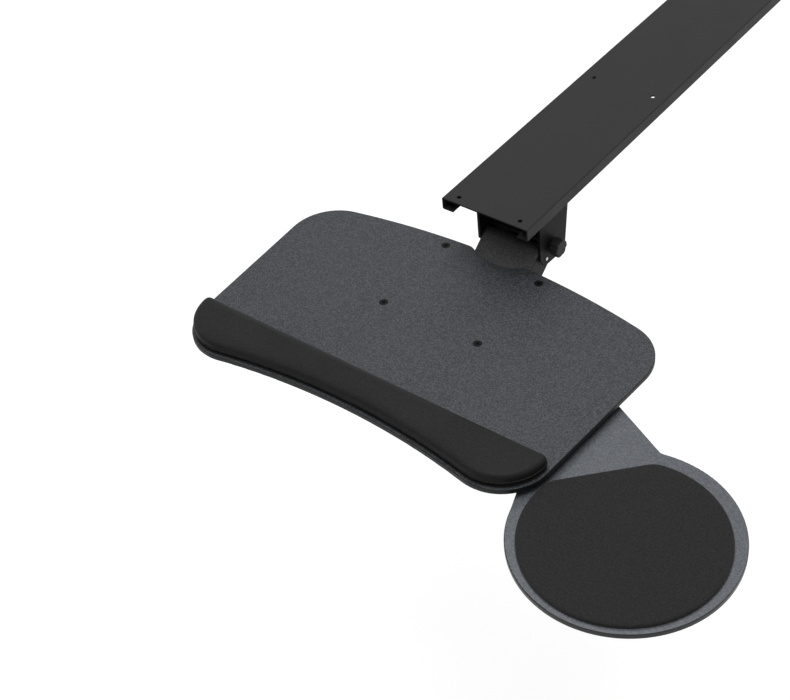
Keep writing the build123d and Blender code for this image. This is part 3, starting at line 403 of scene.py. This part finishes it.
rib = bpy.data.node_groups.new("rib along a line", "GeometryNodeTree")
rib.interface.new_socket("Geometry", in_out="INPUT", socket_type="NodeSocketGeometry")
rib_radius = rib.interface.new_socket("Radius", in_out="INPUT", socket_type="NodeSocketFloat")
rib_step = rib.interface.new_socket("Step", in_out="INPUT", socket_type="NodeSocketFloat")
rib_finish = rib.interface.new_socket("Finish", in_out="INPUT", socket_type="NodeSocketMaterial")
rib.interface.new_socket("Geometry", in_out="OUTPUT", socket_type="NodeSocketGeometry")
rib_in = rib.nodes.new("NodeGroupInput")
rib_out = rib.nodes.new("NodeGroupOutput")
even = rib.nodes.new("GeometryNodeResampleCurve")
even.mode = "LENGTH"
section = rib.nodes.new("GeometryNodeCurvePrimitiveCircle")
section.inputs["Resolution"].default_value = seam_sides
tube = rib.nodes.new("GeometryNodeCurveToMesh")
tube.inputs["Fill Caps"].default_value = True
solid = rib.nodes.new("GeometryNodeRealizeInstances")
coated = rib.nodes.new("GeometryNodeSetMaterial")
rib.links.new(rib_in.outputs["Geometry"], even.inputs["Curve"])
rib.links.new(rib_in.outputs["Step"], even.inputs["Length"])
rib.links.new(rib_in.outputs["Radius"], section.inputs["Radius"])
rib.links.new(even.outputs["Curve"], tube.inputs["Curve"])
rib.links.new(section.outputs["Curve"], tube.inputs["Profile Curve"])
rib.links.new(tube.outputs["Mesh"], solid.inputs["Geometry"])
rib.links.new(solid.outputs["Geometry"], coated.inputs["Geometry"])
rib.links.new(rib_in.outputs["Finish"], coated.inputs["Material"])
rib.links.new(coated.outputs["Geometry"], rib_out.inputs["Geometry"])
sewn = seam.modifiers.new("rib", "NODES")
sewn.node_group = rib
sewn[rib_radius.identifier] = seam_radius
sewn[rib_step.identifier] = seam_step
sewn[rib_finish.identifier] = leatherette
seam_mesh = bpy.data.meshes.new_from_object(seam.evaluated_get(bpy.context.evaluated_depsgraph_get()))
bpy.data.objects.remove(seam)
seam_rib = bpy.data.objects.new("palm_seam_rib", seam_mesh)
bpy.context.scene.collection.objects.link(seam_rib)
for face in seam_mesh.polygons:
    face.use_smooth = True
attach(seam_rib, "tray")

# The platform's pad is thin foam under a closely woven cloth, glued in place.
# Its top edge is pressed round, and the cloth has a fine speckle of lighter threads.
pad_voxel = 0.0013
pad_smoothings = 2
pad = welded_copy("mouse_pad", "mouse_pad_cloth")
remeshed(pad, pad_voxel)
pad_low, pad_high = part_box("mouse_pad")
work = bmesh.new()
work.from_mesh(pad.data)
for _ in range(pad_smoothings):
    smooth_once(work)
work.to_mesh(pad.data)
work.free()
for vert in pad.data.vertices:
    vert.co.z = min(max(vert.co.z, pad_low.z + underside_lift), pad_high.z)

weave, weave_in, weave_out = shader_group(
    "plain weave",
    [("Vector", "NodeSocketVector", None), ("Threads per metre", "NodeSocketFloat", 1400.0)],
    [("Height", "NodeSocketFloat")],
)
bands_per_scale = 20
threads = []
for direction in ("X", "Y"):
    wave = weave.nodes.new("ShaderNodeTexWave")
    wave.bands_direction = direction
    wave.inputs["Distortion"].default_value = 0.6
    weave.links.new(weave_in.outputs["Vector"], wave.inputs["Vector"])
    scale = weave.nodes.new("ShaderNodeMath")
    scale.operation = "MULTIPLY"
    scale.inputs[1].default_value = 1 / bands_per_scale
    weave.links.new(weave_in.outputs["Threads per metre"], scale.inputs[0])
    weave.links.new(scale.outputs["Value"], wave.inputs["Scale"])
    threads.append(wave)
crossing = weave.nodes.new("ShaderNodeMath")
crossing.operation = "MULTIPLY"
weave.links.new(threads[0].outputs["Fac"], crossing.inputs[0])
weave.links.new(threads[1].outputs["Fac"], crossing.inputs[1])
weave.links.new(crossing.outputs["Value"], weave_out.inputs["Height"])

pad_cloth = grained("pad cloth", (0.011, 0.011, 0.011), (0.03, 0.03, 0.03), 0.9, 0.00012, 700.0, 18.0)
pad_cloth.node_tree.nodes["Principled BSDF"].inputs["Sheen Weight"].default_value = 0.15
pad_nodes = pad_cloth.node_tree.nodes
pad_links = pad_cloth.node_tree.links
pad_weave = pad_nodes.new("ShaderNodeGroup")
pad_weave.node_tree = weave
pad_bump = node_in(pad_cloth, "ShaderNodeBump")
pad_place = node_in(pad_cloth, "ShaderNodeTexCoord")
woven = pad_nodes.new("ShaderNodeBump")
woven.inputs["Distance"].default_value = 0.00015
woven.inputs["Strength"].default_value = 0.6
pad_links.new(pad_place.outputs["Object"], pad_weave.inputs["Vector"])
pad_links.new(pad_weave.outputs["Height"], woven.inputs["Height"])
pad_links.new(woven.outputs["Normal"], pad_bump.inputs["Normal"])
pad.data.materials.append(pad_cloth)
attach(pad, "mouse_shelf")
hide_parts("mouse_pad")

# The floor is a plain pale sheet well below the tray, which hangs at sitting height.
floor_drop = 0.7
floor_half = 40.0
floor_mesh = bpy.data.meshes.new("floor")
work = bmesh.new()
bmesh.ops.create_grid(work, x_segments=1, y_segments=1, size=floor_half)
bmesh.ops.translate(work, verts=work.verts, vec=(0, 0, -floor_drop))
work.to_mesh(floor_mesh)
work.free()
floor = bpy.data.objects.new("floor", floor_mesh)
bpy.context.scene.collection.objects.link(floor)
floor_paint = bpy.data.materials.new("pale floor")
floor_paint.use_nodes = True
floor_shader = floor_paint.node_tree.nodes["Principled BSDF"]
floor_shader.inputs["Base Color"].default_value = (0.4, 0.4, 0.4, 1)
floor_shader.inputs["Roughness"].default_value = 0.9


def seen_strength(tree, unseen, seen):
    """A strength that is higher for rays that show the background than for its light."""
    path = tree.nodes.new("ShaderNodeLightPath")
    shows = path.outputs["Is Camera Ray"]
    for kind in ("Is Glossy Ray", "Is Transmission Ray"):
        either = tree.nodes.new("ShaderNodeMath")
        either.operation = "MAXIMUM"
        tree.links.new(shows, either.inputs[0])
        tree.links.new(path.outputs[kind], either.inputs[1])
        shows = either.outputs["Value"]
    strength = tree.nodes.new("ShaderNodeMapRange")
    strength.inputs["To Min"].default_value = unseen
    strength.inputs["To Max"].default_value = seen
    tree.links.new(shows, strength.inputs["Value"])
    return strength.outputs["Result"]


floor_paint.node_tree.links.new(
    seen_strength(floor_paint.node_tree, 0.0, 0.85), floor_shader.inputs["Emission Strength"])
floor_shader.inputs["Emission Color"].default_value = (1, 1, 1, 1)
floor_mesh.materials.append(floor_paint)

# The light is a pale room with a large soft lamp over the tray and a small one behind.
world = bpy.data.worlds.new("pale room")
bpy.context.scene.world = world
world.use_nodes = True
backdrop = world.node_tree.nodes["Background"]
backdrop.inputs["Color"].default_value = (1, 1, 1, 1)
world.node_tree.links.new(seen_strength(world.node_tree, 0.13, 1.0), backdrop.inputs["Strength"])
tray_middle = Vector((0, -0.35, -0.08))
for name, place, size, power in (
    ("top lamp", (0.2, -0.75, 2.6), 2.2, 57.0),
    ("far lamp", (-0.351, 0.384, 1.9), 0.5, 6.0),
):
    lamp = bpy.data.lights.new(name, "AREA")
    lamp.size = size
    lamp.energy = power
    holder = bpy.data.objects.new(name, lamp)
    holder.location = place
    holder.rotation_euler = (tray_middle - Vector(place)).to_track_quat("-Z", "Y").to_euler()
    bpy.context.scene.collection.objects.link(holder)

# The camera stands where the photograph was taken from, solved from what it shows.
eye = (0.8279, -1.3490, 1.0471)
azimuth, elevation, roll = (math.radians(angle) for angle in (42.507, 42.315, -7.002))
back = Vector((
    math.sin(azimuth) * math.cos(elevation),
    -math.cos(azimuth) * math.cos(elevation),
    math.sin(elevation),
))
level = Vector((math.cos(azimuth), math.sin(azimuth), 0))
above = back.cross(level)
right = level * math.cos(roll) + above * math.sin(roll)
up = above * math.cos(roll) - level * math.sin(roll)
lens = bpy.data.cameras.new("camera")
lens.sensor_width = 36.0
lens.lens = 72.51
lens.clip_end = 100.0
camera = bpy.data.objects.new("camera", lens)
turn = Matrix((right, up, back)).transposed().to_4x4()
camera.matrix_world = Matrix.Translation(eye) @ turn
bpy.context.scene.collection.objects.link(camera)
bpy.context.scene.camera = camera
bpy.context.scene.view_settings.view_transform = "Standard"
